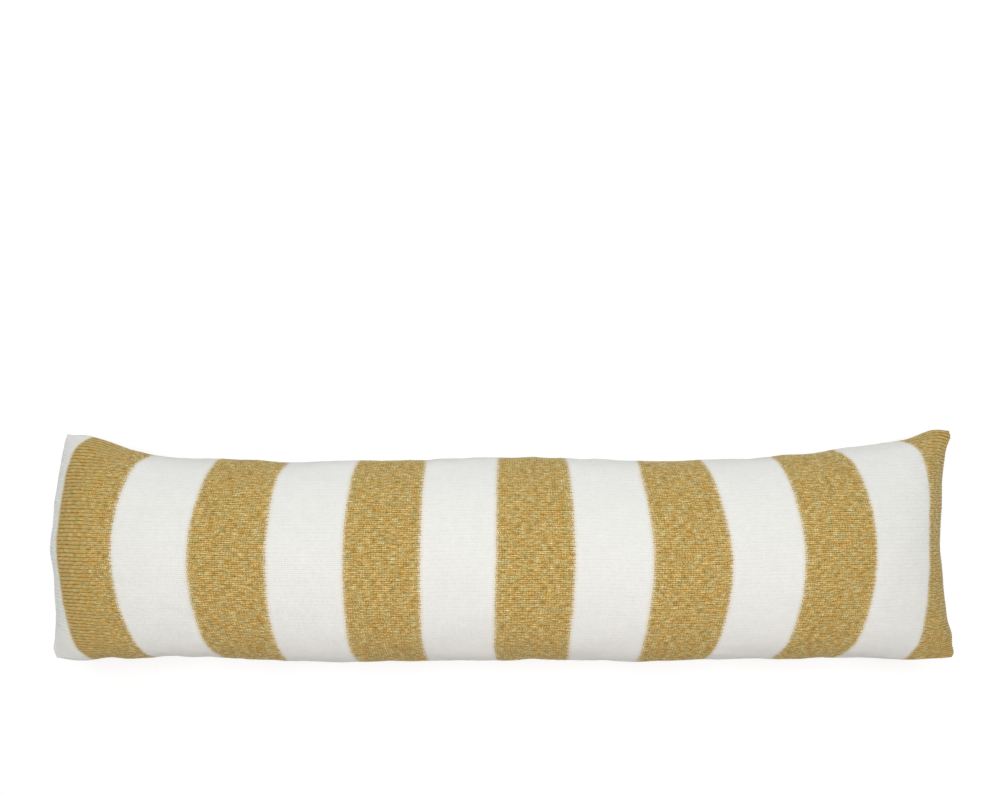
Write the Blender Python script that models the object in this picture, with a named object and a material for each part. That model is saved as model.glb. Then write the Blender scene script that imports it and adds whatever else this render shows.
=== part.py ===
"""Striped knitted bed bumper: one long filled cushion, lying on its back.

A front and a back panel of knitted cloth are sewn together along all four edges, and the filling swells
them into a bolster. Metres, +Z up. +X runs along the length and +Y across it. The origin is on the
surface that the cushion lies on, under its middle.
"""

import collections
import math

import bmesh
import bpy

Section = collections.namedtuple("Section", "along top bottom rise")
SeamPoint = collections.namedtuple("SeamPoint", "across along")
Slope = collections.namedtuple("Slope", "length power root")

# Driving dimensions
SEAM_HEIGHT = 0.068        # height of the seam between the two panels
BELLY = 1.02               # drop of the back panel, were nothing under it, as a share of the front's rise
SIDE_POWER = 0.53          # 0.5 is a true ellipse across the cushion, more is a sharper side
CORNER_POWER = 0.30        # added to the side power at the end seams, which pinches the corners
TOP_TAKE_UP = 0.030        # share of its length that the cloth loses to the sewing of the top seam
BOTTOM_TAKE_UP = 0.018     # the same on the bottom seam
MIDDLE = (0.0049, 0.0157)  # middle of the outline along and across, measured from the zero of the tables

# Sections along the cushion: place along, the seam's place across on the top and on the bottom side, and
# the rise of the front panel above the seam
SECTIONS = (
    Section(-0.4880, 0.1390, -0.0960, 0.0760),
    Section(-0.4740, 0.1390, -0.1085, 0.0760),
    Section(-0.4490, 0.1370, -0.1100, 0.0760),
    Section(-0.4290, 0.1310, -0.1080, 0.0760),
    Section(-0.3940, 0.1200, -0.1075, 0.0755),
    Section(-0.3430, 0.1120, -0.1060, 0.0755),
    Section(-0.2900, 0.1110, -0.1080, 0.0760),
    Section(-0.2300, 0.1083, -0.1100, 0.0765),
    Section(-0.1700, 0.1090, -0.1120, 0.0770),
    Section(-0.0800, 0.1108, -0.1105, 0.0780),
    Section(0.0100, 0.1130, -0.1100, 0.0785),
    Section(0.0900, 0.1112, -0.1102, 0.0780),
    Section(0.1600, 0.1092, -0.1114, 0.0775),
    Section(0.2400, 0.1108, -0.1088, 0.0775),
    Section(0.3200, 0.1160, -0.1080, 0.0770),
    Section(0.3800, 0.1235, -0.1075, 0.0765),
    Section(0.4400, 0.1345, -0.1090, 0.0760),
    Section(0.4700, 0.1430, -0.1090, 0.0760),
    Section(0.4970, 0.1420, -0.0990, 0.0760),
)

# Seam along each end, from the bottom corner to the top one: place across, place along
LEFT_SEAM = (
    SeamPoint(-0.1050, -0.4860),
    SeamPoint(-0.0950, -0.4870),
    SeamPoint(-0.0600, -0.4800),
    SeamPoint(0.0000, -0.4775),
    SeamPoint(0.0600, -0.4770),
    SeamPoint(0.1100, -0.4760),
    SeamPoint(0.1390, -0.4740),
)
RIGHT_SEAM = (
    SeamPoint(-0.1050, 0.4940),
    SeamPoint(-0.0985, 0.4970),
    SeamPoint(-0.0870, 0.4942),
    SeamPoint(-0.0780, 0.4938),
    SeamPoint(-0.0710, 0.4905),
    SeamPoint(-0.0580, 0.4865),
    SeamPoint(-0.0300, 0.4790),
    SeamPoint(0.0200, 0.4765),
    SeamPoint(0.0800, 0.4775),
    SeamPoint(0.1180, 0.4860),
    SeamPoint(0.1370, 0.4945),
    SeamPoint(0.1425, 0.4900),
)

# How the filling thins out towards an end: length of the slope, and the power and the root of its curve
LEFT_SLOPE = Slope(0.105, 2.0, 3.0)
RIGHT_SLOPE = Slope(0.170, 2.0, 2.6)

# Edges of the stripes along the length: cream lies before the first edge, then mustard, and so on in turn
STRIPE_EDGES = (
    -0.456, -0.389, -0.313, -0.235, -0.157, -0.080, -0.004, 0.074, 0.153, 0.231, 0.304, 0.377, 0.445,
)
COLUMNS_PER_STRIPE = 6
COLUMNS_AT_AN_END = 5
ROWS = 26

# Colours of the two yarns, which are materials 0 and 1 of the cover
CREAM = (0.84, 0.82, 0.76)
MUSTARD = (0.47, 0.31, 0.08)


def read(table, place, column):
    """Reads a column of a table at a place in its first column, on a smooth curve through the rows."""
    places = [row[0] for row in table]
    last = len(table) - 1
    place = min(max(place, places[0]), places[last])
    row = max(index for index in range(last) if places[index] <= place)
    before, after = max(row - 1, 0), min(row + 2, last)
    width = places[row + 1] - places[row]
    values = [getattr(table[index], column) for index in (before, row, row + 1, after)]
    low, high = values[1], values[2]
    slope_low = (high - values[0]) / (places[row + 1] - places[before])
    slope_high = (values[3] - low) / (places[after] - places[row])
    way = (place - places[row]) / width
    back = 1 - way
    straight = low * (1 + 2 * way) * back**2 + high * (1 + 2 * back) * way**2
    return straight + width * way * back * (slope_low * back - slope_high * way)


def grid_columns():
    """The grid's columns from end to end: place along, the end seam that they lean to, and how far they lean."""
    leans = [math.cos(step / COLUMNS_AT_AN_END * math.pi / 2) for step in range(COLUMNS_AT_AN_END)]
    columns = [(STRIPE_EDGES[0], LEFT_SEAM, lean) for lean in leans]
    for start, end in zip(STRIPE_EDGES, STRIPE_EDGES[1:]):
        step = (end - start) / COLUMNS_PER_STRIPE
        columns += [(start + step * count, LEFT_SEAM, 0.0) for count in range(COLUMNS_PER_STRIPE)]
    columns.append((STRIPE_EDGES[-1], RIGHT_SEAM, 0.0))
    return columns + [(STRIPE_EDGES[-1], RIGHT_SEAM, lean) for lean in reversed(leans)]


def plan_point(column, share):
    """A grid point seen from above. The share is -1 on the bottom seam and 1 on the top one."""
    along, end_seam, lean = column
    along *= 1 - (TOP_TAKE_UP if share > 0 else BOTTOM_TAKE_UP) * share * share
    way_up = (share + 1) / 2
    lowest, highest = end_seam[0].across, end_seam[-1].across
    along += (read(end_seam, lowest + (highest - lowest) * way_up, "along") - along) * lean
    bottom, top = read(SECTIONS, along, "bottom"), read(SECTIONS, along, "top")
    return along, bottom + (top - bottom) * way_up


def thickness(along, across, share):
    """How much of its full thickness a panel has at a point: none on the seam, all of it in the middle."""
    total, nearest = 1.0, 0.0
    for seam, slope, outward in ((LEFT_SEAM, LEFT_SLOPE, -1), (RIGHT_SEAM, RIGHT_SLOPE, 1)):
        way = 1 - (read(seam, across, "along") - along) * outward / slope.length
        way = min(max(way, 0.0), 1.0)
        total *= (1 - way**slope.power) ** (1 / slope.root)
        nearest = max(nearest, way)
    return total * (1 - share * share) ** (SIDE_POWER + CORNER_POWER * nearest**4)


def panel(columns, upward):
    """One panel of the cover as a grid, swollen by the filling, and flat where the cushion lies on it."""
    mesh = bmesh.new()
    gaps = len(columns) - 1
    bmesh.ops.create_grid(mesh, x_segments=gaps, y_segments=ROWS, size=1.0)
    for face in mesh.faces:
        gap = math.floor((face.calc_center_median().x + 1) / 2 * gaps)
        stripe = math.floor((gap - COLUMNS_AT_AN_END) / COLUMNS_PER_STRIPE) + 1
        face.material_index = stripe % 2
    for vert in mesh.verts:
        column = columns[round((vert.co.x + 1) / 2 * gaps)]
        share = math.sin(vert.co.y * math.pi / 2)
        along, across = plan_point(column, share)
        swell = 0.0
        if not vert.is_boundary:
            swell = read(SECTIONS, along, "rise") * thickness(along, across, share)
        height = swell if upward else -BELLY * swell
        vert.co = (along - MIDDLE[0], across - MIDDLE[1], max(SEAM_HEIGHT + height, 0.0))
    if not upward:
        bmesh.ops.reverse_faces(mesh, faces=mesh.faces)
    return mesh


def yarn(name, colour):
    material = bpy.data.materials.new(name)
    material.use_nodes = True
    shader = material.node_tree.nodes["Principled BSDF"]
    shader.inputs["Base Color"].default_value = (*colour, 1.0)
    shader.inputs["Roughness"].default_value = 0.95
    shader.inputs["Metallic"].default_value = 0.0
    return material


def cushion(collection):
    """The filled cover: the two panels joined along the seam that runs round all four edges."""
    columns = grid_columns()
    whole = bmesh.new()
    for upward in (True, False):
        side = panel(columns, upward)
        part = bpy.data.meshes.new("panel")
        side.to_mesh(part)
        side.free()
        whole.from_mesh(part)
        bpy.data.meshes.remove(part)
    bmesh.ops.remove_doubles(whole, verts=whole.verts, dist=0.000001)
    mesh = bpy.data.meshes.new("cushion")
    whole.to_mesh(mesh)
    whole.free()
    mesh.materials.append(yarn("cream wool", CREAM))
    mesh.materials.append(yarn("mustard wool", MUSTARD))
    mesh.shade_smooth()
    collection.objects.link(bpy.data.objects.new("cushion", mesh))


def main():
    for obj in list(bpy.data.objects):
        bpy.data.objects.remove(obj)
    collection = bpy.data.collections.new("bed bumper")
    bpy.context.scene.collection.children.link(collection)
    cushion(collection)


main()
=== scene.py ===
"""The looks of the striped knitted bed bumper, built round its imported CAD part.

Metres, in the part's frame: +X along the bumper, +Y across it, +Z up out of its face. The cover is real
stocking stitch. Its wales run along the bumper and its courses across it, and each stripe is a band of
courses. A cloth simulation settles the filled cover first, and then the stitches are laid on that surface.
"""

import collections
import math

import bpy
import numpy as np
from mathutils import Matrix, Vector


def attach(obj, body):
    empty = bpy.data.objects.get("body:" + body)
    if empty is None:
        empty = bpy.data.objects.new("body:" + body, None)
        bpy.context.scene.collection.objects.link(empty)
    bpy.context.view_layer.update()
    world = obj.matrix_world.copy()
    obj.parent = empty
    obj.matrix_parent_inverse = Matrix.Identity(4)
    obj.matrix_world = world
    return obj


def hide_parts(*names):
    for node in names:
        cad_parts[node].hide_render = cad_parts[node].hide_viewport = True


Section = collections.namedtuple("Section", "along top bottom rise")
SeamPoint = collections.namedtuple("SeamPoint", "across along")
Slope = collections.namedtuple("Slope", "length power root")
EdgePoint = collections.namedtuple("EdgePoint", "share along")
StripeEdge = collections.namedtuple("StripeEdge", "bottom lower middle upper top")
Opening = collections.namedtuple("Opening", "closed opening")
Waves = collections.namedtuple("Waves", "courses wales size")
ThreadPoint = collections.namedtuple("ThreadPoint", "way height")
Grain = collections.namedtuple("Grain", "wale course detail roughness")
Lamp = collections.namedtuple("Lamp", "name at size power colour")
Stitches = collections.namedtuple("Stitches", "points relief opened outward")

# The filled form. Its sizes are those of the part's source, and its outline is drawn closer to the photo:
# fuller at the corners, and within 3 mm of the part's elsewhere.
SEAM_HEIGHT = 0.068        # height of the seam between the two panels
BELLY = 1.02               # drop of the back panel, were nothing under it, as a share of the front's rise
SIDE_POWER = 0.53          # 0.5 is a true ellipse across the cushion, more is a sharper side
CORNER_POWER = 0.30        # added to the side power at the end seams, which pinches the corners
MIDDLE = (0.0049, 0.0157)  # middle of the outline along and across, measured from the zero of the tables
SECTIONS = (
    Section(-0.4880, 0.1390, -0.1078, 0.0760),
    Section(-0.4740, 0.1390, -0.1092, 0.0760),
    Section(-0.4490, 0.1370, -0.1104, 0.0760),
    Section(-0.4290, 0.1310, -0.1082, 0.0760),
    Section(-0.3940, 0.1200, -0.1085, 0.0755),
    Section(-0.3430, 0.1120, -0.1066, 0.0755),
    Section(-0.2900, 0.1110, -0.1084, 0.0760),
    Section(-0.2300, 0.1083, -0.1108, 0.0765),
    Section(-0.1700, 0.1090, -0.1124, 0.0770),
    Section(-0.0800, 0.1108, -0.1108, 0.0780),
    Section(0.0100, 0.1130, -0.1102, 0.0785),
    Section(0.0900, 0.1112, -0.1100, 0.0780),
    Section(0.1600, 0.1092, -0.1118, 0.0775),
    Section(0.2400, 0.1108, -0.1094, 0.0775),
    Section(0.3200, 0.1160, -0.1083, 0.0770),
    Section(0.3800, 0.1235, -0.1082, 0.0765),
    Section(0.4400, 0.1345, -0.1096, 0.0760),
    Section(0.4700, 0.1432, -0.1097, 0.0760),
    Section(0.4970, 0.1424, -0.1080, 0.0760),
)
LEFT_SEAM = (
    SeamPoint(-0.1050, -0.4865),
    SeamPoint(-0.0950, -0.4870),
    SeamPoint(-0.0800, -0.4828),
    SeamPoint(-0.0600, -0.4795),
    SeamPoint(-0.0160, -0.4767),
    SeamPoint(0.0130, -0.4793),
    SeamPoint(0.0300, -0.4785),
    SeamPoint(0.0600, -0.4768),
    SeamPoint(0.1100, -0.4748),
    SeamPoint(0.1390, -0.4755),
)
RIGHT_SEAM = (
    SeamPoint(-0.1050, 0.4950),
    SeamPoint(-0.0985, 0.4975),
    SeamPoint(-0.0870, 0.4938),
    SeamPoint(-0.0780, 0.4925),
    SeamPoint(-0.0710, 0.4902),
    SeamPoint(-0.0580, 0.4855),
    SeamPoint(-0.0300, 0.4797),
    SeamPoint(0.0080, 0.4741),
    SeamPoint(0.0300, 0.4748),
    SeamPoint(0.0800, 0.4789),
    SeamPoint(0.1180, 0.4856),
    SeamPoint(0.1370, 0.4955),
    SeamPoint(0.1425, 0.4930),
)
LEFT_SLOPE = Slope(0.105, 2.0, 3.0)
RIGHT_SLOPE = Slope(0.170, 2.0, 2.6)

# Places along of each stripe's edge: on the bottom seam, low on the face, in its middle, high on it, and
# on the top seam. The cloth is drawn in towards the middle of the bumper at its seams.
EDGE_SHARES = (-1.0, -0.8, 0.0, 0.8, 1.0)
STRIPE_EDGES = (
    StripeEdge(-0.439, -0.4485, -0.454, -0.453, -0.441),
    StripeEdge(-0.373, -0.380, -0.391, -0.382, -0.374),
    StripeEdge(-0.298, -0.307, -0.314, -0.305, -0.303),
    StripeEdge(-0.229, -0.232, -0.235, -0.231, -0.228),
    StripeEdge(-0.152, -0.156, -0.157, -0.154, -0.151),
    StripeEdge(-0.077, -0.080, -0.080, -0.079, -0.079),
    StripeEdge(-0.003, -0.006, -0.004, -0.003, -0.002),
    StripeEdge(0.074, 0.072, 0.075, 0.072, 0.070),
    StripeEdge(0.147, 0.148, 0.154, 0.147, 0.148),
    StripeEdge(0.219, 0.226, 0.232, 0.220, 0.217),
    StripeEdge(0.291, 0.299, 0.305, 0.296, 0.292),
    StripeEdge(0.362, 0.371, 0.380, 0.370, 0.361),
    StripeEdge(0.438, 0.4425, 0.444, 0.445, 0.431),
)

# The knit
WALES = 72
COURSES_PER_STRIPE = 28
COURSES_AT_AN_END = 21
COURSES = 2 * COURSES_AT_AN_END + COURSES_PER_STRIPE * (len(STRIPE_EDGES) - 1)
BANDS = len(STRIPE_EDGES) + 1
COLUMNS = 4                # columns of points in a wale: its groove, a leg, the groove between legs, a leg
ROWS = 2                   # rows of points in a course: its dip and its crest
WALE = 0.0041              # width of a wale on the filled cover
COURSE = 0.00275           # height of a course there
CHEVRON = 0.34             # how far a stitch's two legs lean, in courses
CHEVRON_START = 2          # courses from an end to where they lean fully
WALES_HELD = 0.8           # how far the wales run straight on to the ends: 0 where they space out evenly
HELD_STRIPES = 2           # over so many stripes at each end
WALE_GROOVE = 0.00080      # depth of the groove between two wales
LEG_GROOVE = 0.00064       # depth of the groove between the two legs of a stitch
STITCH_DIP = 0.00028       # dip in a leg where the next stitch comes through
CREST_GROOVE = 0.85        # depth of a groove beside a crest, as a share of that beside a dip
CLOSED_LEGS = 0.25         # depth of the groove between closed legs, as a share of that between open ones
SEAM_GROOVE = 0.0022       # how far the seam is pulled in
SEAM_LIP = 0.0030          # how far from the seam the cloth turns in to it
SEAM_SHADE = 0.3           # painted shade: brightness of the yarn deep in the seam, as a share of that outside
SAMPLES_ACROSS = 201       # points that a line across the form is worked out at
SAMPLES_TO_SEAM = 61       # such lines from the outermost edge of a stripe to the end seam
CURVE_POINTS = 4           # points each way that a smooth surface is drawn through
BAKE_MARGIN = 0.015        # border round each stripe in the layout for baking

# Courses at each end where the cloth isn't stretched across, so that the two legs of a stitch lie closed,
# and courses after those until the legs lie fully open
LEFT_OPENING = Opening(27, 18)
RIGHT_OPENING = Opening(6, 10)

# Unevenness, as seeded waves: how many courses and wales long they are, and their size
SEED = 7
SLOW_DRIFT = Waves(9, 6, 0.12)              # of the courses, in courses
QUICK_DRIFT = Waves(2.3, 1.7, 0.09)
WANDER = Waves(3.1, 2.3, 0.045)             # of the wales, in wales
UNEVEN_DEPTH = Waves(1.0, 0.5, 0.00012)     # of the stitches' relief
PUCKERS = Waves(7.0, 30.0, 0.0007)          # of the cloth along the seam
LUMPS = Waves(22.0, 11.0, 0.0006)           # of the filling
PUCKER_PLACE = 0.009       # how far from the seam the puckers are highest, and how far they reach from there
LUMPS_START = 0.03         # how far from the seam the lumps have their full height

# Loose hairs: each is rooted on a stitch, and has two halves
FIBRES = 8000              # of each colour on each panel
FIBRE_LENGTH = 0.0045
FIBRE_WIDTH = 0.00007
SHORTEST_FIBRE = 0.4       # as a share of the longest
FIBRE_RISE = (0.2, 0.9)    # least and most that the first half stands up
FIBRE_BEND = (-0.4, 0.5)   # the same for the second half, which may bend down again
FIBRE_LIE = (0.6, 0.8)     # how far the first and the second half run along the cloth
FIBRE_TURN = 0.9           # how much the second half turns aside
FIBRE_LAYOUT = ((0, 0), (1, 0), (1, 0.5), (0, 0.5), (0.5, 1))      # its root, middle and tip, for baking
FIBRE_FACES = ((0, 1, 2), (0, 2, 3), (3, 2, 4))

# Sewing yarn
THREAD = 0.0006            # its thickness
THREAD_STEP = 3            # columns or rows of the stitches' grid between two stitches of the seam
THREAD_INSET = 2           # columns or rows from the seam to where a stitch goes in
THREAD_PATH = (            # share of the way over the seam, and height above the straight line
    ThreadPoint(0.00, -0.0006),
    ThreadPoint(0.25, -0.0001),
    ThreadPoint(0.75, -0.0001),
    ThreadPoint(1.00, -0.0006),
)
THREAD_SIDES = 5

# Colours
CREAM = (0.782, 0.783, 0.753)
# the sewing yarn's cream, darkened by painted shade for lying in the seam's groove
SHADED_THREAD_CREAM = (0.66, 0.62, 0.52)
CREAM_GROOVE_SHADE = (0.878, 0.986)   # painted shade: brightness of the cream in the deepest groove and on a leg of a stitch
MUSTARD_GROOVE_SHADE = (0.43, 1.455)  # and of the mustard, also painted shade
CREAM_LEVEL = 0.65              # relief from which the cream is as bright as on a leg, with no painted shade
CREAM_STRANDS = (0.97, 1.0)     # brightness of the darkest and the brightest strands of the cream
THREAD_STRANDS = (0.85, 1.0)    # and of the sewing yarn
CREAM_CLOUDING = (-0.01, 0.01)  # added to the cream's brightness over several stitches
MUSTARD_SHADE_POWERS = (0.70, 1.02, 1.75)       # red, green and blue: redder where dark, straw where bright; in the grooves it colours the painted shade as bounced light would
HEATHER = ((0.25, 0.141, 0.0185), (0.47, 0.332, 0.101), (0.705, 0.570, 0.273))    # dark to pale fibres
FLECKS_OPEN = (0.12, 0.88)      # noise at the dark and the pale end of the heather, in open stitches
FLECKS_CLOSED = (-0.2, 1.2)     # and in closed ones
SPECKS_OPEN = (0.47, 1.53)      # brightness of the darkest and brightest specks, in open stitches
SHADED_SPECKS_CLOSED = (0.60, 1.06)    # and in closed ones: less spread, and darker on the whole, which paints shade on the ends where these stitches lie
HEATHER_TINTS = ((0.93, 1.045, 1.24), (1.00, 1.00, 1.00), (1.06, 0.95, 0.80))    # olive to orange
BORDER_COURSES = 1.3            # how far the fuzz of a stripe reaches over the next one
BORDER_FUZZ = (0.15, 0.85)      # least and most share of the next stripe's colour at the border
FUZZ_ON_CREAM = (0.64, 0.53, 0.30)      # colour of the fuzz that reaches over the cream
FUZZ_ON_MUSTARD = (0.74, 0.68, 0.52)    # and of that which reaches over the mustard
SHEEN_TINT = (0.80, 1.00, 1.00, 1.0)
SHEEN_ROUGHNESS = 0.4
WOOL_ROUGHNESS = 0.95
WOOL_SPECULAR = 0.15
CREAM_SHEEN = 0.1
MUSTARD_SHEEN = 0.18
THREAD_SHEEN = 0.2
FIBRE_SHEEN = 0.0

# Noise in the yarn: how many of its cells lie in one wale and in one course, its detail and its roughness
STRANDS = Grain(9.0, 2.6, 3.0, 0.65)
WISPS = Grain(3.3, 1.1, 2.0, 0.5)
FLECKS = Grain(2.9, 0.42, 1.0, 0.5)
SPECKS = Grain(4.4, 2.7, 1.0, 0.5)
TINT_CLOUDS = Grain(0.5, 0.30, 1.5, 0.5)
CREAM_CLOUDS = Grain(0.35, 0.25, 2.0, 0.5)
NOISE_RANGE = (0.3, 0.7)   # where nearly all values of such noise lie

# Relief of the yarn's twist
WALE_TWISTS = 4.0          # turns in one wale
COURSE_TWISTS = 2.0        # turns in one course
TWIST_WOBBLE = 0.6         # how much the strands upset it, in turns
TWIST_HEIGHT = 0.25        # beside the strands' own height
BUMP_HEIGHT = 0.0004
BUMP_STRENGTH = 0.5

# Light
FLOOR_GAP = 0.0005         # the floor's surface lies this far below the cushion
FLOOR_HALF = 30.0
FLOOR_GREY = 0.28
FLOOR_GLOW = 0.75
SKY = (0.60, 0.30, 0.10, 0.10, 0.10)    # its brightness at even steps from the horizon to the zenith
LAMPS = (
    Lamp("softbox", (0.03, 0.24, 2.0), (1.8, 1.4), 45.0, (1.0, 1.0, 1.0)),
    Lamp("warm fill", (0.0, -1.2, 0.9), (1.4, 0.6), 2.0, (1.0, 0.66, 0.48)),
)

# The simulated cloth, whose cells hold a few stitches each
CELL_COURSES = 3
CELL_WALES = 2
CELLS_ALONG = COURSES // CELL_COURSES
CELLS_ACROSS = WALES // CELL_WALES
FRAMES = 30
STEPS = 6                  # of the simulation in a frame
PRESSURE = 4.0
POINT_MASS = 0.0003
KNIT_STIFFNESS = 15.0
KNIT_SHEAR = KNIT_STIFFNESS / 3
KNIT_BENDING = 0.5
KNIT_DAMPING = 25
BENDING_DAMPING = 2
AIR_DAMPING = 5
FILLING_HOLD = 0.1         # how strongly the filling holds each point of the cover where it is
FURTHEST = 0.0025          # cap on what the simulation moves a point by
ROUGH_CELLS = 1            # its moves are evened out over so many cells each way
WAVE_CELLS = 6             # what it moves over more cells than this each way is the form's own
NO_DISTANCE = 1e-9         # keeps a division clear of zero

# Camera, as the photograph has it
SENSOR_WIDTH = 36.0        # in millimetres
CAMERA_HEIGHT = 0.88       # above the seam
PIXELS_PER_METRE = 914.0   # at the seam
PICTURE = (1000, 794)
AXIS_PIXEL = (500, 560)    # where the camera's axis meets the picture


def read(table, place, column):
    """Reads a column of a table at places in its first column, on a smooth curve through the rows."""
    places = np.array([row[0] for row in table])
    values = np.array([getattr(row, column) for row in table])
    last = len(table) - 1
    place = np.clip(place, places[0], places[-1])
    row = np.clip(np.searchsorted(places, place, side="right") - 1, 0, last - 1)
    before, after = np.maximum(row - 1, 0), np.minimum(row + 2, last)
    width = places[row + 1] - places[row]
    low, high = values[row], values[row + 1]
    slope_low = (high - values[before]) / (places[row + 1] - places[before])
    slope_high = (values[after] - low) / (places[after] - places[row])
    way = (place - places[row]) / width
    back = 1 - way
    straight = low * (1 + 2 * way) * back**2 + high * (1 + 2 * back) * way**2
    return straight + width * way * back * (slope_low * back - slope_high * way)


def stripe_edge(number, share):
    """The place along of a stripe's edge, for shares across from -1 on the bottom seam to 1 on the top."""
    points = [EdgePoint(*pair) for pair in zip(EDGE_SHARES, STRIPE_EDGES[number])]
    return read(points, share, "along")


def end_seam(seam, share):
    lowest, highest = seam[0].across, seam[-1].across
    return read(seam, lowest + (highest - lowest) * (share + 1) / 2, "along")


def thickness(along, share):
    """How much of its full thickness a panel has at a point: none on the seam, all of it in the middle."""
    total, nearest = 1.0, 0.0
    for seam, slope, outward in ((LEFT_SEAM, LEFT_SLOPE, -1), (RIGHT_SEAM, RIGHT_SLOPE, 1)):
        way = np.clip(1 - (end_seam(seam, share) - along) * outward / slope.length, 0.0, 1.0)
        total = total * (1 - way**slope.power) ** (1 / slope.root)
        nearest = np.maximum(nearest, way)
    return total * (1 - share * share) ** (SIDE_POWER + CORNER_POWER * nearest**4)


def column_of(along, share, upward):
    """Points of the form across one line of the cloth, from the bottom seam to the top one."""
    bottom, top = read(SECTIONS, along, "bottom"), read(SECTIONS, along, "top")
    across = bottom + (top - bottom) * (share + 1) / 2
    swell = read(SECTIONS, along, "rise") * thickness(along, share)
    height = SEAM_HEIGHT + (swell if upward else -BELLY * swell)
    return np.stack([along - MIDDLE[0], across - MIDDLE[1], np.maximum(height, 0.0)], axis=1)


def lengths(line):
    """How far each point of a line lies along it."""
    steps = np.linalg.norm(np.diff(line, axis=0), axis=1)
    return np.concatenate([[0.0], np.cumsum(steps)])


def at_lengths(line, length, places):
    """Points at some places along a line, whose own points lie at these lengths."""
    return np.stack([np.interp(places, length, line[:, axis]) for axis in range(3)], axis=1)


def evenly(line, gaps):
    """Points at equal distances along a line of points."""
    length = lengths(line)
    return at_lengths(line, length, np.linspace(0.0, length[-1], gaps + 1))


def held(line, gaps, reference, hold):
    """Points along a line across the cloth, evenly spaced, but drawn to a reference's places across."""
    length = lengths(line)
    even = np.linspace(0.0, length[-1], gaps + 1)
    drawn = np.interp(reference, line[:, 1], length)
    middle = 1 - np.linspace(-1.0, 1.0, gaps + 1) ** 2
    return at_lengths(line, length, even + (drawn - even) * hold * middle)


def form_panel(upward):
    """One panel of the filled form as a grid of points, spaced as the stitches are."""
    share = np.sin(np.linspace(-math.pi / 2, math.pi / 2, SAMPLES_ACROSS))
    share[0], share[-1] = -1.0, 1.0
    last = len(STRIPE_EDGES) - 1
    references = []
    for edge in (HELD_STRIPES, last - HELD_STRIPES):
        references.append(evenly(column_of(stripe_edge(edge, share), share, True), CELLS_ACROSS)[:, 1])

    leans = np.cos(np.linspace(0, math.pi / 2, SAMPLES_TO_SEAM))
    ends = []
    for seam, edge, reference in ((LEFT_SEAM, 0, references[0]), (RIGHT_SEAM, last, references[1])):
        start, stop = end_seam(seam, share), stripe_edge(edge, share)
        lines = [column_of(stop + (start - stop) * lean, share, upward) for lean in leans]
        columns = [held(line, CELLS_ACROSS, reference, WALES_HELD) for line in lines]
        rows = [evenly(row, COURSES_AT_AN_END // CELL_COURSES)
                for row in np.stack(columns).transpose(1, 0, 2)]
        ends.append(np.stack(rows, axis=1))
    middle = []
    for course in range(COURSES_AT_AN_END, COURSES - COURSES_AT_AN_END + 1, CELL_COURSES):
        stripes = (course - COURSES_AT_AN_END) / COURSES_PER_STRIPE
        number = min(int(stripes), last - 1)
        before, after = stripe_edge(number, share), stripe_edge(number + 1, share)
        line = column_of(before + (after - before) * (stripes - number), share, upward)
        hold = WALES_HELD * min(max(HELD_STRIPES - min(stripes, last - stripes), 0.0), 1.0)
        middle.append(held(line, CELLS_ACROSS, references[0 if stripes < last / 2 else 1], hold))
    return np.concatenate([ends[0][:-1], np.stack(middle), ends[1][::-1][1:]])


def cover_index():
    """Numbers of the closed cover's points for both panels' grids, which share those on the seam."""
    shape = (CELLS_ALONG + 1, CELLS_ACROSS + 1)
    front = np.arange(shape[0] * shape[1]).reshape(shape)
    inner = front[1:-1, 1:-1]
    back = front.copy()
    back[1:-1, 1:-1] = np.arange(inner.size).reshape(inner.shape) + front.size
    return front, back


def cover_mesh(front, back):
    """The closed cover of both panels, as the simulation takes it."""
    front_index, back_index = cover_index()
    points = np.concatenate([front.reshape(-1, 3), back[1:-1, 1:-1].reshape(-1, 3)])
    faces = []
    for index, turned in ((front_index, False), (back_index, True)):
        quads = np.stack([index[:-1, :-1], index[1:, :-1], index[1:, 1:], index[:-1, 1:]], axis=2)
        quads = quads.reshape(-1, 4)
        faces.append(quads[:, ::-1] if turned else quads)
    mesh = bpy.data.meshes.new("cover")
    mesh.from_pydata(points.tolist(), [], np.concatenate(faces).tolist())
    return mesh


def normals_of(front, back):
    """The cover's outward directions at each point of both panels."""
    mesh = cover_mesh(front, back)
    found = np.empty(len(mesh.vertices) * 3, np.float32)
    mesh.vertex_normals.foreach_get("vector", found)
    bpy.data.meshes.remove(mesh)
    found = found.reshape(-1, 3).astype(float)
    return [found[index] for index in cover_index()]


def bordered(panel, other):
    """A panel's grid with one more line on each side, taken from the other panel over the seam."""
    wide = np.pad(panel, ((1, 1), (1, 1), (0, 0)), mode="edge")
    wide[0, 1:-1], wide[-1, 1:-1] = other[1], other[-2]
    wide[1:-1, 0], wide[1:-1, -1] = other[:, 1], other[:, -2]
    return wide


def sample(wide, first, second):
    """Reads a grid that has a border at fractional places, on a smooth surface through its points."""
    result = 0.0
    corner, way = [], []
    for place, size in zip((first, second), wide.shape):
        low = np.clip(np.floor(place).astype(int), 0, size - CURVE_POINTS)
        corner.append(low)
        way.append(place - low)
    weights = []
    for t in way:
        weights.append((
            ((2 - t) * t - 1) * t / 2,
            ((3 * t - 5) * t * t + 2) / 2,
            ((4 - 3 * t) * t + 1) * t / 2,
            (t - 1) * t * t / 2,
        ))
    for i in range(CURVE_POINTS):
        for j in range(CURVE_POINTS):
            weight = weights[0][i] * weights[1][j]
            result = result + weight[..., None] * wide[corner[0] + i, corner[1] + j]
    return result


def noise(rng, course, wale, waves):
    """Smooth seeded waves over a grid of places on the cloth, up and down by about their size."""
    course, wale = course / waves.courses, wale / waves.wales
    shape = (int(course.max()) + CURVE_POINTS, int(wale.max()) + CURVE_POINTS, 1)
    return sample(rng.uniform(-1.0, 1.0, shape), course, wale)[..., 0] * waves.size


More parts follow.
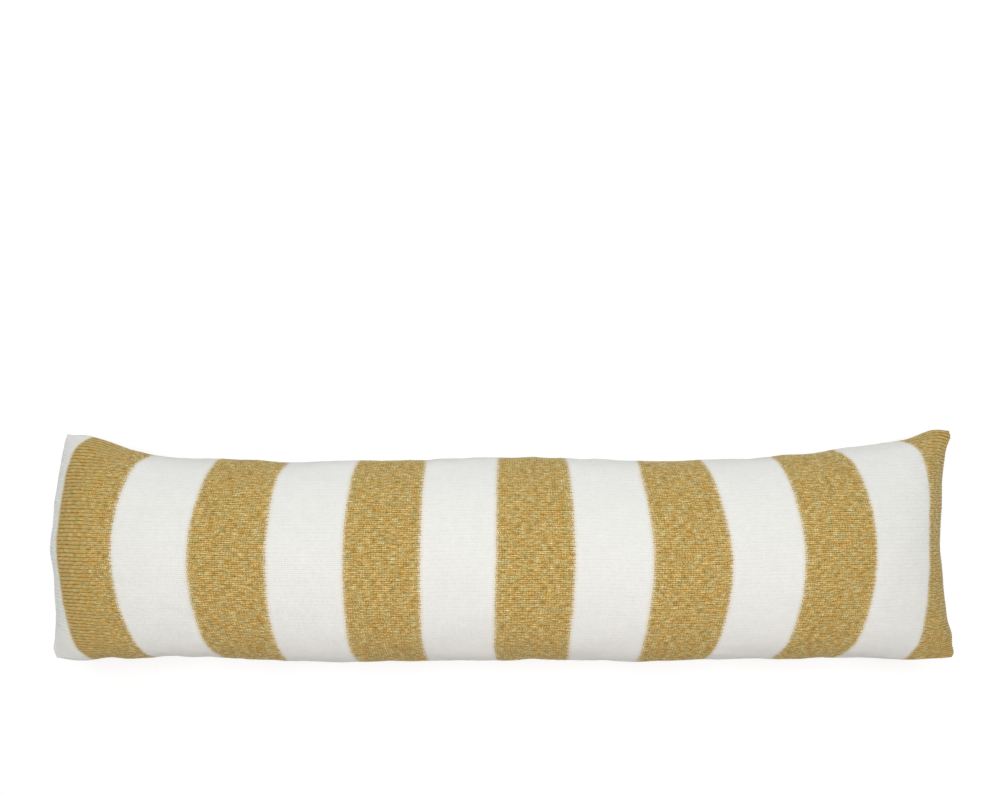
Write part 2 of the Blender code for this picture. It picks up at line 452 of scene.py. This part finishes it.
def stitch_panel(panel, other, normals, other_normals, rng):
    """A panel's stitches: their points, and how high each stands between its groove and its crest, lower deep
    in the seam, for the painted shade.
    """
    row, column = np.meshgrid(np.arange(ROWS * COURSES + 1), np.arange(COLUMNS * WALES + 1), indexing="ij")
    even_course, even_wale = row / ROWS, column / COLUMNS
    from_end = np.minimum(even_course, COURSES - even_course)
    lean = np.abs(column % COLUMNS / 2 - 1) - 0.5
    course = even_course + CHEVRON * lean * np.clip(from_end / CHEVRON_START, 0.0, 1.0)
    from_seam = np.minimum(np.minimum(even_wale, WALES - even_wale) * WALE, from_end * COURSE)
    loose = np.clip(from_seam / SEAM_LIP, 0.0, 1.0)

    drift = noise(rng, course, even_wale, SLOW_DRIFT) + noise(rng, course, even_wale, QUICK_DRIFT)
    wander = noise(rng, course, even_wale, WANDER)
    course = np.clip(course + drift * loose, 0, COURSES)
    wale = np.clip(even_wale + wander * loose, 0, WALES)
    places = (course / CELL_COURSES, wale / CELL_WALES)
    points = sample(bordered(panel, other), *places)
    outward = unit(sample(bordered(normals, other_normals), *places))

    leg = column % 2 == 1
    crest = row % 2 == 1
    opened = 1.0
    for courses, end in ((even_course, LEFT_OPENING), (COURSES - even_course, RIGHT_OPENING)):
        opened = np.minimum(opened, np.clip((courses - end.closed) / end.opening, 0.0, 1.0))
    leg_groove = LEG_GROOVE * (CLOSED_LEGS + (1 - CLOSED_LEGS) * opened)
    groove = np.where(column % COLUMNS == 0, WALE_GROOVE, leg_groove)
    depth = np.where(leg, np.where(crest, 0.0, STITCH_DIP), np.where(crest, CREST_GROOVE, 1.0) * groove)
    depth = depth + noise(rng, even_course, even_wale, UNEVEN_DEPTH)
    pucker = noise(rng, course, wale, PUCKERS) * np.exp(-((from_seam / PUCKER_PLACE - 1) ** 2))
    lumps = noise(rng, course, wale, LUMPS) * np.clip(from_seam / LUMPS_START, 0, 1)
    height = (pucker + lumps - np.maximum(depth, 0.0)) * loose
    height = height - SEAM_GROOVE * np.exp(-((from_seam / SEAM_LIP) ** 2))
    points = points + outward * height[..., None]
    points[..., 2] = np.maximum(points[..., 2], 0.0)
    # relief, which sets the painted shade: 1 on a crest, lower in the grooves, lowest deep in the seam
    relief = (1 - depth / WALE_GROOVE * loose) * (SEAM_SHADE + (1 - SEAM_SHADE) * loose)
    return Stitches(points, relief, opened, outward)


def band_rows(band):
    """The first and the last row of points of one stripe."""
    edges = [0] + [COURSES_AT_AN_END + COURSES_PER_STRIPE * n for n in range(len(STRIPE_EDGES))] + [COURSES]
    return ROWS * edges[band], ROWS * edges[band + 1]


def quads_of(shape, start=0):
    """The faces of a grid of points, counted from a first number."""
    index = start + np.arange(shape[0] * shape[1]).reshape(shape)
    quads = np.stack([index[:-1, :-1], index[1:, :-1], index[1:, 1:], index[:-1, 1:]], axis=2)
    return quads.reshape(-1, 4)


def add_object(name, mesh, material):
    mesh.materials.append(material)
    obj = bpy.data.objects.new(name, mesh)
    bpy.context.scene.collection.objects.link(obj)
    return obj


def mesh_of(name, points, faces):
    """A smooth mesh from arrays of points and of four-cornered or three-cornered faces."""
    mesh = bpy.data.meshes.new(name)
    mesh.vertices.add(len(points))
    mesh.vertices.foreach_set("co", points.astype(np.float32).ravel())
    mesh.loops.add(faces.size)
    mesh.loops.foreach_set("vertex_index", faces.astype(np.int32).ravel())
    mesh.polygons.add(len(faces))
    mesh.polygons.foreach_set("loop_start", np.arange(0, faces.size, faces.shape[1], dtype=np.int32))
    mesh.update(calc_edges=True)
    return mesh


def add_uv(mesh, name, values, faces):
    """Adds a layout to a mesh, from a pair of values for each of its points."""
    layer = mesh.uv_layers.new(name=name)
    layer.data.foreach_set("uv", values[faces.ravel()].astype(np.float32).ravel())


def add_values(mesh, name, kind, domain, values):
    mesh.attributes.new(name, kind, domain).data.foreach_set("value", values)


def stripe_piece(number, panels, material):
    """One stripe of the cover, front and back, as a mesh of real stitches."""
    name = f"stripe_{number + 1:02d}_{'mustard' if number % 2 else 'cream'}"
    start, stop = band_rows(number)
    shape = (stop - start + 1, COLUMNS * WALES + 1)
    row, column = np.meshgrid(np.arange(start, stop + 1), np.arange(shape[1]), indexing="ij")
    points = np.concatenate([panel.points[start:stop + 1].reshape(-1, 3) for panel in panels])
    relief = np.concatenate([panel.relief[start:stop + 1].ravel() for panel in panels])
    opened = np.concatenate([panel.opened[start:stop + 1].ravel() for panel in panels])
    rows_to_next = []
    if number > 0:
        rows_to_next.append(row - start)
    if number < BANDS - 1:
        rows_to_next.append(stop - row)
    border = np.clip(1 - np.min(rows_to_next, axis=0) / ROWS / BORDER_COURSES, 0.0, 1.0)
    front = quads_of(shape)
    faces = np.concatenate([front, front[:, ::-1] + row.size])
    mesh = mesh_of(name, points, faces)

    along = within_margin((row - start) / (stop - start))
    across = within_margin(column / (shape[1] - 1))
    stitch, bake = [], []
    for side in (0, 1):
        stitch.append(np.stack([column / COLUMNS, row / ROWS + side * COURSES], axis=2).reshape(-1, 2))
        bake.append(np.stack([(side + along) / 2, across], axis=2).reshape(-1, 2))
    add_uv(mesh, "stitch", np.concatenate(stitch), faces)
    add_uv(mesh, "OFBake", np.concatenate(bake), faces)
    add_values(mesh, "relief", "FLOAT", "POINT", relief)
    add_values(mesh, "opened", "FLOAT", "POINT", opened)
    add_values(mesh, "border", "FLOAT", "POINT", np.tile(border.ravel(), 2))

    add_sharp_edges(mesh, np.tile(row.ravel(), 2), np.tile(column.ravel(), 2))
    return add_object(name, mesh, material)


def add_sharp_edges(mesh, row, column):
    """Marks the edges along the grooves and the dips, where one stretch of yarn meets the next."""
    ends = np.empty(len(mesh.edges) * 2, np.int32)
    mesh.edges.foreach_get("vertices", ends)
    one, two = ends.reshape(-1, 2).T
    in_groove = (column[one] == column[two]) & (column[one] % 2 == 0)
    in_dip = (row[one] == row[two]) & (row[one] % 2 == 0)
    add_values(mesh, "sharp_edge", "BOOLEAN", "EDGE", in_groove | in_dip)


def within_margin(share):
    """Shares of 0 to 1 brought in from the edges of their place in a layout for baking."""
    return BAKE_MARGIN + (1 - 2 * BAKE_MARGIN) * share


def fibres(name, panels, first, rng, material):
    """The short loose hairs of one colour's stripes: thin bent ribbons, rooted on the stitches."""
    rows = np.concatenate([np.arange(*band_rows(band))[1:] for band in range(first, BANDS, 2)])
    roots, outward, stitch = [], [], []
    for side, panel in enumerate(panels):
        row, column = rng.choice(rows, FIBRES), rng.integers(1, COLUMNS * WALES, FIBRES)
        roots.append(panel.points[row, column])
        outward.append(panel.outward[row, column])
        stitch.append(np.stack([column / COLUMNS, row / ROWS + side * COURSES], axis=1))
    roots, outward, stitch = (np.concatenate(part) for part in (roots, outward, stitch))
    total = len(roots)

    lie = unit(np.cross(outward, rng.normal(size=(total, 3))))
    turn = unit(np.cross(outward, lie) + FIBRE_TURN * rng.normal(size=(total, 1)) * lie)
    half = FIBRE_LENGTH * rng.uniform(SHORTEST_FIBRE, 1.0, (total, 1)) / 2
    middle = roots + half * (outward * rng.uniform(*FIBRE_RISE, (total, 1)) + lie * FIBRE_LIE[0])
    tip = middle + half * (outward * rng.uniform(*FIBRE_BEND, (total, 1)) + turn * FIBRE_LIE[1])
    side = unit(np.cross(middle - roots, rng.normal(size=(total, 3)))) * FIBRE_WIDTH / 2
    points = np.stack([roots - side, roots + side, middle + side, middle - side, tip], axis=1)
    points[..., 2] = np.maximum(points[..., 2], 0.0)
    count = len(FIBRE_LAYOUT)
    faces = (count * np.arange(total)[:, None, None] + FIBRE_FACES).reshape(-1, 3)
    mesh = mesh_of(name, points.reshape(-1, 3), faces)

    wide = math.ceil(math.sqrt(total))
    cell = np.stack([np.arange(total) % wide, np.arange(total) // wide], axis=1)[:, None]
    bake = (cell + within_margin(np.array(FIBRE_LAYOUT))) / wide
    add_uv(mesh, "stitch", np.repeat(stitch, count, axis=0), faces)
    add_uv(mesh, "OFBake", bake.reshape(-1, 2), faces)
    for key, value in (("relief", 1.0), ("opened", 1.0), ("border", 0.0)):
        add_values(mesh, key, "FLOAT", "POINT", np.full(total * count, value))
    return add_object(name, mesh, material)


def unit(vectors):
    return vectors / np.linalg.norm(vectors, axis=-1, keepdims=True)


def seam_thread(name, panels, material):
    """The sewing yarn in the seam: one short slanting stitch after another, right round the cover.

    Each stitch comes out of the front panel, lies across the groove and goes into the back panel.
    """
    front, back = panels
    rows, columns = front.points.shape[0] - 1 - THREAD_INSET, front.points.shape[1] - 1 - THREAD_INSET
    loop = [(row, THREAD_INSET) for row in range(THREAD_INSET, rows, THREAD_STEP)]
    loop += [(rows, column) for column in range(THREAD_INSET, columns, THREAD_STEP)]
    loop += [(row, columns) for row in range(rows, THREAD_INSET, -THREAD_STEP)]
    loop += [(THREAD_INSET, column) for column in range(columns, THREAD_INSET, -THREAD_STEP)]
    points, faces = [], []
    for from_here, to_there in zip(loop, loop[1:] + loop[:1]):
        start, stop = Vector(front.points[from_here]), Vector(back.points[to_there])
        outward = Vector(front.outward[from_here] + back.outward[to_there]).normalized()
        along = (stop - start).normalized()
        side = along.cross(outward).normalized()
        other = along.cross(side)
        for way, height in THREAD_PATH:
            middle = start.lerp(stop, way) + outward * height
            for turn in range(THREAD_SIDES):
                angle = 2 * math.pi * turn / THREAD_SIDES
                points.append(middle + (side * math.cos(angle) + other * math.sin(angle)) * THREAD / 2)
        first = len(points) - THREAD_SIDES * len(THREAD_PATH)
        for ring in range(first, len(points) - THREAD_SIDES, THREAD_SIDES):
            for turn in range(THREAD_SIDES):
                one, two = ring + turn, ring + (turn + 1) % THREAD_SIDES
                faces.append((one, two, two + THREAD_SIDES, one + THREAD_SIDES))
    points = np.array([tuple(point) for point in points])
    return add_object(name, mesh_of(name, points, np.array(faces)), material)


class Nodes:
    """Short calls to make the nodes of a material or of the world."""

    def __init__(self, owner):
        owner.use_nodes = True
        self.tree = owner.node_tree
        self.shader = self.tree.nodes.get("Principled BSDF")

    def add(self, kind, inputs=None, output=0, **settings):
        node = self.tree.nodes.new(kind)
        for key, value in settings.items():
            setattr(node, key, value)
        for key, value in (inputs or {}).items():
            self.set(node.inputs[key], value)
        return node.outputs[output]

    def set(self, socket, value):
        if isinstance(value, bpy.types.NodeSocket):
            self.tree.links.new(value, socket)
        else:
            socket.default_value = value

    def math(self, operation, *values):
        return self.add("ShaderNodeMath", dict(enumerate(values)), operation=operation)

    def noise(self, stitch, grain):
        stretch = (grain.wale, grain.course, 1.0)
        scaled = self.add("ShaderNodeVectorMath", {0: stitch, 1: stretch}, operation="MULTIPLY")
        inputs = {"Vector": scaled, "Scale": 1.0, "Detail": grain.detail, "Roughness": grain.roughness}
        return self.add("ShaderNodeTexNoise", inputs)

    def spread(self, value, low, high, to_low=0.0, to_high=1.0):
        return self.add("ShaderNodeMapRange", {0: value, 1: low, 2: high, 3: to_low, 4: to_high})

    def ramp(self, value, colours):
        """Runs through the colours, evenly spaced, as the value goes from 0 to 1."""
        node = self.tree.nodes.new("ShaderNodeValToRGB")
        elements = node.color_ramp.elements
        for number in range(1, len(colours) - 1):
            elements.new(number / (len(colours) - 1))
        for element, colour in zip(elements, colours):
            element.color = (*colour, 1.0)
        self.set(node.inputs[0], value)
        return node.outputs[0]

    def mix(self, factor, one, two, blend="MIX"):
        node = self.tree.nodes.new("ShaderNodeMix")
        node.data_type = "RGBA"
        node.blend_type = blend
        for socket, value in ((node.inputs[0], factor), (node.inputs[6], one), (node.inputs[7], two)):
            self.set(socket, value)
        return node.outputs[2]

    def shaded(self, colour, shade, powers=(1.0, 1.0, 1.0)):
        """A colour made darker or paler by a shade, which acts on red, green and blue with these powers."""
        channels = [self.math("POWER", shade, power) for power in powers]
        shades = self.add("ShaderNodeCombineColor", dict(enumerate(channels)))
        return self.mix(1.0, colour, shades, "MULTIPLY")


def wool(name, sheen, yarn_colour):
    """A wool yarn: its colour, the relief of its twist and fibres, and the pale sheen of its fuzz."""
    material = bpy.data.materials.new(name)
    nodes = Nodes(material)
    looks = {
        "Roughness": WOOL_ROUGHNESS,
        "Specular IOR Level": WOOL_SPECULAR,
        "Sheen Weight": sheen,
        "Sheen Roughness": SHEEN_ROUGHNESS,
        "Sheen Tint": SHEEN_TINT,
    }
    for key, value in looks.items():
        nodes.shader.inputs[key].default_value = value
    stitch = nodes.add("ShaderNodeUVMap", uv_map="stitch")
    strands = nodes.noise(stitch, STRANDS)
    across = nodes.add("ShaderNodeSeparateXYZ", {0: stitch})
    along = nodes.add("ShaderNodeSeparateXYZ", {0: stitch}, output=1)
    across, along = nodes.math("MULTIPLY", across, WALE_TWISTS), nodes.math("MULTIPLY", along, COURSE_TWISTS)
    wobble = nodes.math("MULTIPLY", strands, TWIST_WOBBLE)
    turns = nodes.math("ADD", nodes.math("ADD", across, along), wobble)
    twist = nodes.math("SINE", nodes.math("MULTIPLY", turns, 2 * math.pi))
    height = nodes.math("ADD", nodes.math("MULTIPLY", twist, TWIST_HEIGHT), strands)
    bump = nodes.add("ShaderNodeBump", {"Height": height, "Distance": BUMP_HEIGHT, "Strength": BUMP_STRENGTH})
    nodes.set(nodes.shader.inputs["Normal"], bump)

    # relief, for the painted shade in the grooves and the seam
    relief = nodes.add("ShaderNodeAttribute", attribute_name="relief", output=2)
    nodes.set(nodes.shader.inputs["Base Color"], yarn_colour(nodes, stitch, strands, relief))
    return material


def fuzzy_border(nodes, stitch, colour, next_colour):
    """A yarn's colour, with fuzz of the next stripe's colour over it along the border between the two."""
    border = nodes.add("ShaderNodeAttribute", attribute_name="border", output=2)
    wisps = nodes.spread(nodes.noise(stitch, WISPS), *NOISE_RANGE, *BORDER_FUZZ)
    return nodes.mix(nodes.math("MULTIPLY", border, wisps), colour, (*next_colour, 1.0))


def cream(nodes, stitch, strands, relief):
    """Even cream, only a little cloudy, and a little darker between the stitches by painted shade."""
    cloud = nodes.spread(nodes.noise(stitch, CREAM_CLOUDS), *NOISE_RANGE, *CREAM_CLOUDING)
    shade = nodes.math("ADD", nodes.spread(strands, *NOISE_RANGE, *CREAM_STRANDS), cloud)
    # painted shade in the grooves between the stitches
    shade = nodes.math("MULTIPLY", shade, nodes.spread(relief, 0.0, CREAM_LEVEL, *CREAM_GROOVE_SHADE))
    return nodes.shaded(fuzzy_border(nodes, stitch, (*CREAM, 1.0), FUZZ_ON_CREAM), shade)


def mustard(nodes, stitch, strands, relief):
    """A heather: dark and pale fibres in every stitch, tints from orange to olive over several, and painted
    shade in the grooves, deep in the seam and on the ends.
    """
    fleck = nodes.noise(stitch, FLECKS)
    opened = nodes.add("ShaderNodeAttribute", attribute_name="opened", output=2)
    least, most = (nodes.spread(opened, 0.0, 1.0, *ends) for ends in zip(FLECKS_CLOSED, FLECKS_OPEN))
    yarn = nodes.ramp(nodes.spread(fleck, least, most), HEATHER)
    speck = nodes.noise(stitch, SPECKS)
    tint = nodes.ramp(nodes.spread(nodes.noise(stitch, TINT_CLOUDS), *NOISE_RANGE), HEATHER_TINTS)
    # in closed stitches the specks are also darker on the whole: painted shade on the bumper's ends
    dark, bright = (nodes.spread(opened, 0.0, 1.0, *ends) for ends in zip(SHADED_SPECKS_CLOSED, SPECKS_OPEN))
    # the specks' own tone, times painted shade in the grooves and the seam
    shade = nodes.math("MULTIPLY", nodes.spread(speck, *NOISE_RANGE, dark, bright),
                       nodes.spread(relief, 0.0, 1.0, *MUSTARD_GROOVE_SHADE))
    yarn = fuzzy_border(nodes, stitch, nodes.mix(1.0, yarn, tint, "MULTIPLY"), FUZZ_ON_MUSTARD)
    return nodes.shaded(yarn, shade, MUSTARD_SHADE_POWERS)


def sewing_yarn(nodes, stitch, strands, relief):
    # the sewing yarn's colour carries painted shade of the seam's groove
    return nodes.shaded((*SHADED_THREAD_CREAM, 1.0), nodes.spread(strands, *NOISE_RANGE, *THREAD_STRANDS))


def flat_cut(panel):
    """The flat piece of knit that a panel is made of, which is as long as the panel's middle."""
    steps = np.linalg.norm(np.diff(panel, axis=1), axis=2)
    across = np.pad(np.cumsum(steps, axis=1), ((0, 0), (1, 0)))
    across = across - across[:, -1:] / 2
    along = np.broadcast_to(lengths(panel[:, CELLS_ACROSS // 2])[:, None], across.shape)
    return np.stack([along, across, np.zeros(across.shape)], axis=2)


def add_cloth(cover, flat, filling):
    """Makes the cover a simulated knit, which was cut to the flat shape and is held by the filling."""
    cloth = cover.modifiers.new("Cloth", "CLOTH")
    settings = cloth.settings
    settings.quality = STEPS
    settings.mass = POINT_MASS
    settings.tension_stiffness = settings.compression_stiffness = KNIT_STIFFNESS
    settings.shear_stiffness = KNIT_SHEAR
    settings.bending_stiffness = KNIT_BENDING
    settings.tension_damping = settings.compression_damping = settings.shear_damping = KNIT_DAMPING
    settings.bending_damping = BENDING_DAMPING
    settings.air_damping = AIR_DAMPING
    settings.use_pressure = True
    settings.uniform_pressure_force = PRESSURE
    settings.rest_shape_key = flat
    settings.vertex_group_mass = filling.name
    settings.pin_stiffness = 1.0
    settings.effector_weights.gravity = 0.0
    cloth.collision_settings.use_collision = False
    cloth.point_cache.frame_start, cloth.point_cache.frame_end = 1, FRAMES


def soft_waves(moved):
    """What is taken over of the simulation's moves: puckers and soft waves, which reach no point far."""
    moved = smoothed(moved, ROUGH_CELLS)
    moved = moved - smoothed(moved, WAVE_CELLS)
    far = np.linalg.norm(moved, axis=2, keepdims=True)
    return moved * (np.tanh(far / FURTHEST) * FURTHEST / np.maximum(far, NO_DISTANCE))


def settled(front, back):
    """Both panels after a cloth simulation has filled the cover and settled it.

    The two panels are cut as flat pieces of knit, which pressure holds open. The filling keeps the wide form
    as it is, so only the cover's puckers and soft waves are taken over, and no point moves far.
    """
    cover = bpy.data.objects.new("cover", cover_mesh(front, back))
    scene = bpy.context.scene
    scene.collection.objects.link(cover)
    cover.shape_key_add(name="filled")
    flat = cover.shape_key_add(name="flat")
    cut = flat_cut(front)
    cut = np.concatenate([cut.reshape(-1, 3), cut[1:-1, 1:-1].reshape(-1, 3)])
    flat.data.foreach_set("co", cut.astype(np.float32).ravel())
    filling = cover.vertex_groups.new(name="filling")
    filling.add(range(len(cut)), FILLING_HOLD, "REPLACE")
    add_cloth(cover, flat, filling)

    scene.frame_start, scene.frame_end = 1, FRAMES
    for frame in range(1, FRAMES + 1):
        scene.frame_set(frame)
    found = cover.evaluated_get(bpy.context.evaluated_depsgraph_get()).to_mesh()
    points = np.empty(len(found.vertices) * 3, np.float32)
    found.vertices.foreach_get("co", points)
    points = points.reshape(-1, 3).astype(float)
    bpy.data.objects.remove(cover)
    scene.frame_set(1)

    panels = zip((front, back), cover_index())
    front, back = [panel + soft_waves(points[index] - panel) for panel, index in panels]
    back[[0, -1]], back[:, [0, -1]] = front[[0, -1]], front[:, [0, -1]]
    for panel in (front, back):
        panel[..., 2] = np.maximum(panel[..., 2], 0.0)
    return front, back


def smoothed(grid, reach):
    """A grid with every point at the mean of those within a reach of it."""
    for axis in (0, 1):
        border = [(0, 0)] * 3
        border[axis] = (reach, reach)
        padded = np.pad(grid, border, mode="edge")
        shifts = range(2 * reach + 1)
        grid = sum(np.take(padded, range(n, n + grid.shape[axis]), axis=axis) for n in shifts) / len(shifts)
    return grid


def light(lamp):
    """A soft light that points at the middle of the surface that the bumper lies on."""
    data = bpy.data.lights.new(lamp.name, "AREA")
    data.color = lamp.colour
    data.shape = "RECTANGLE"
    data.size, data.size_y = lamp.size
    data.energy = lamp.power
    obj = bpy.data.objects.new(lamp.name, data)
    obj.location = lamp.at
    obj.rotation_euler = (-Vector(lamp.at)).to_track_quat("-Z", "Y").to_euler()
    obj.visible_camera = False
    bpy.context.scene.collection.objects.link(obj)


def pale_floor():
    """A pale floor, which glows a little as a light table does."""
    mesh = bpy.data.meshes.new("floor")
    points = [(x * FLOOR_HALF, y * FLOOR_HALF, 0) for x, y in ((-1, -1), (1, -1), (1, 1), (-1, 1))]
    mesh.from_pydata(points, [], [(0, 1, 2, 3)])
    material = bpy.data.materials.new("white floor")
    nodes = Nodes(material)
    nodes.shader.inputs["Base Color"].default_value = (FLOOR_GREY, FLOOR_GREY, FLOOR_GREY, 1.0)
    nodes.shader.inputs["Roughness"].default_value = 1.0
    nodes.shader.inputs["Specular IOR Level"].default_value = 0.0
    nodes.shader.inputs["Emission Color"].default_value = (1.0, 1.0, 1.0, 1.0)
    nodes.shader.inputs["Emission Strength"].default_value = FLOOR_GLOW
    floor = add_object("floor", mesh, material)
    floor.location.z = -FLOOR_GAP


def studio():
    """Soft light from all round, a softbox and a warm fill."""
    bpy.context.scene.world = bpy.data.worlds.new("studio")
    sky = Nodes(bpy.context.scene.world)
    direction = sky.add("ShaderNodeTexCoord")
    height = sky.add("ShaderNodeSeparateXYZ", {0: direction}, output=2)
    colour = sky.ramp(height, [(grey, grey, grey) for grey in SKY])
    sky.set(sky.tree.nodes["Background"].inputs["Color"], colour)
    for lamp in LAMPS:
        light(lamp)
    bpy.context.scene.view_settings.view_transform = "Standard"


def camera():
    data = bpy.data.cameras.new("camera")
    width, height = PICTURE
    data.sensor_width = SENSOR_WIDTH
    data.lens = SENSOR_WIDTH * CAMERA_HEIGHT * PIXELS_PER_METRE / width
    data.shift_y = (AXIS_PIXEL[1] - height / 2) / width
    obj = bpy.data.objects.new("camera", data)
    obj.location = (-MIDDLE[0], -MIDDLE[1], SEAM_HEIGHT + CAMERA_HEIGHT)
    bpy.context.scene.collection.objects.link(obj)
    bpy.context.scene.camera = obj


def knitted_panels(rng):
    """The stitches of the front and of the back panel, laid over the settled form."""
    front, back = form_panel(upward=True), form_panel(upward=False)
    front, back = settled(front, back)
    front_normals, back_normals = normals_of(front, back)
    return [
        stitch_panel(front, back, front_normals, back_normals, rng),
        stitch_panel(back, front, back_normals, front_normals, rng),
    ]


def bumper():
    """Every piece of the bumper, which all ride on the part's one body."""
    rng = np.random.default_rng(SEED)
    panels = knitted_panels(rng)
    knits = [
        wool("cream wool knit", CREAM_SHEEN, cream),
        wool("heathered mustard wool knit", MUSTARD_SHEEN, mustard),
    ]
    for number in range(BANDS):
        stripe = stripe_piece(number, panels, knits[number % 2])
        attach(stripe, "root")
        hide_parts("cushion")
    for first, (name, colour) in enumerate((("cream", cream), ("mustard", mustard))):
        material = wool(f"{name} wool fibre", FIBRE_SHEEN, colour)
        hairs = fibres(f"{name}_fibres", panels, first, rng, material)
        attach(hairs, "root")
    thread = seam_thread("seam_thread", panels, wool("cream sewing yarn", THREAD_SHEEN, sewing_yarn))
    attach(thread, "root")


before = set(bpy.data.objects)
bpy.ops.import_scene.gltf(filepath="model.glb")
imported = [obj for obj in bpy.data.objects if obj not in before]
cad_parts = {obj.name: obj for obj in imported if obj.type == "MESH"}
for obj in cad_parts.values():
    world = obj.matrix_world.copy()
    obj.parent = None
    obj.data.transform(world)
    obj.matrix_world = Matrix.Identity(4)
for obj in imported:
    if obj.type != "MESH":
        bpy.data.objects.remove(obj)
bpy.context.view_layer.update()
camera()
pale_floor()
studio()
bumper()
